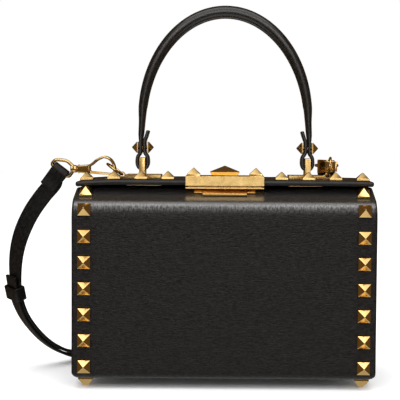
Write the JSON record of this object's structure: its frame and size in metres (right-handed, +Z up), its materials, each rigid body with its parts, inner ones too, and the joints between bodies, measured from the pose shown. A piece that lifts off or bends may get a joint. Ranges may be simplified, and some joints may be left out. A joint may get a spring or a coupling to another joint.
{
  "type": "top handle box bag",
  "caption": "Small structured leather box bag with a hinged lid, turn knob clasp, arched top handle, pyramid studs and a shoulder strap on snap hooks.",
  "frame": {"origin": "centre of the flat underside of the leather box, between the feet", "axes": "+Z up, the front with the clasp faces -Y, +X to the viewer's right"},
  "size_m": [0.2434, 0.2921, 0.2436],
  "materials": {
    "black_leather": "grained semi-gloss black",
    "gold_metal": "polished warm gold"
  },
  "bodies": {
    "body": {"body_shell": "black_leather", "catch_plate": "gold_metal", "hinge_roll": "black_leather", "strap_short": "black_leather", "strap_long": "black_leather", "keeper": "black_leather", "buckle": "gold_metal", "stud_front_left_1": "gold_metal", "stud_front_left_2": "gold_metal", "stud_front_left_3": "gold_metal", "stud_front_left_4": "gold_metal", "stud_front_left_5": "gold_metal", "stud_front_left_6": "gold_metal", "stud_front_left_7": "gold_metal", "stud_front_left_8": "gold_metal", "foot_front_left": "gold_metal", "foot_back_left": "gold_metal", "stud_front_right_1": "gold_metal", "stud_front_right_2": "gold_metal", "stud_front_right_3": "gold_metal", "stud_front_right_4": "gold_metal", "stud_front_right_5": "gold_metal", "stud_front_right_6": "gold_metal", "stud_front_right_7": "gold_metal", "stud_front_right_8": "gold_metal", "foot_front_right": "gold_metal", "foot_back_right": "gold_metal"},
    "lid": {"lid": "black_leather", "clasp_plate": "gold_metal", "clasp_underplate": "gold_metal", "handle": "black_leather", "stud_lid_left_1": "gold_metal", "stud_lid_left_2": "gold_metal", "stud_lid_left_3": "gold_metal", "stud_lid_left_4": "gold_metal", "anchor_left": "gold_metal", "backing_left": "gold_metal", "rivet_left": "gold_metal", "ring_left": "gold_metal", "hook_left": "gold_metal", "swivel_left": "gold_metal", "stud_lid_right_1": "gold_metal", "stud_lid_right_2": "gold_metal", "stud_lid_right_3": "gold_metal", "stud_lid_right_4": "gold_metal", "anchor_right": "gold_metal", "backing_right": "gold_metal", "rivet_right": "gold_metal", "ring_right": "gold_metal", "hook_right": "gold_metal", "swivel_right": "gold_metal"},
    "knob": {"turn_knob": "gold_metal"},
    "gate_left": {"gate_left": "gold_metal"},
    "gate_right": {"gate_right": "gold_metal"}
  },
  "joints": [
    {"name": "lid_hinge", "type": "hinge", "parent": "body", "child": "lid", "pos_m": [0, 0.036, 0.1193], "axis": [-1, 0, 0], "range_deg": [0, 95], "deforming": ["strap_short", "strap_long"]},
    {"name": "knob_turn", "type": "hinge", "parent": "lid", "child": "knob", "pos_m": [0, -0.0255, 0.1278], "axis": [0, 0, 1], "range_deg": [0, 90]},
    {"name": "gate_left_swing", "type": "hinge", "parent": "lid", "child": "gate_left", "pos_m": [-0.08861, 0, 0.12839], "axis": [0, -1, 0], "range_deg": [0, 12], "stiffness_Nm_per_rad": 0.002, "springref_deg": -11.46},
    {"name": "gate_right_swing", "type": "hinge", "parent": "lid", "child": "gate_right", "pos_m": [0.07234, 0.0186, 0.13298], "axis": [0, 0, -1], "range_deg": [0, 12], "stiffness_Nm_per_rad": 0.002, "springref_deg": -11.46}
  ]
}
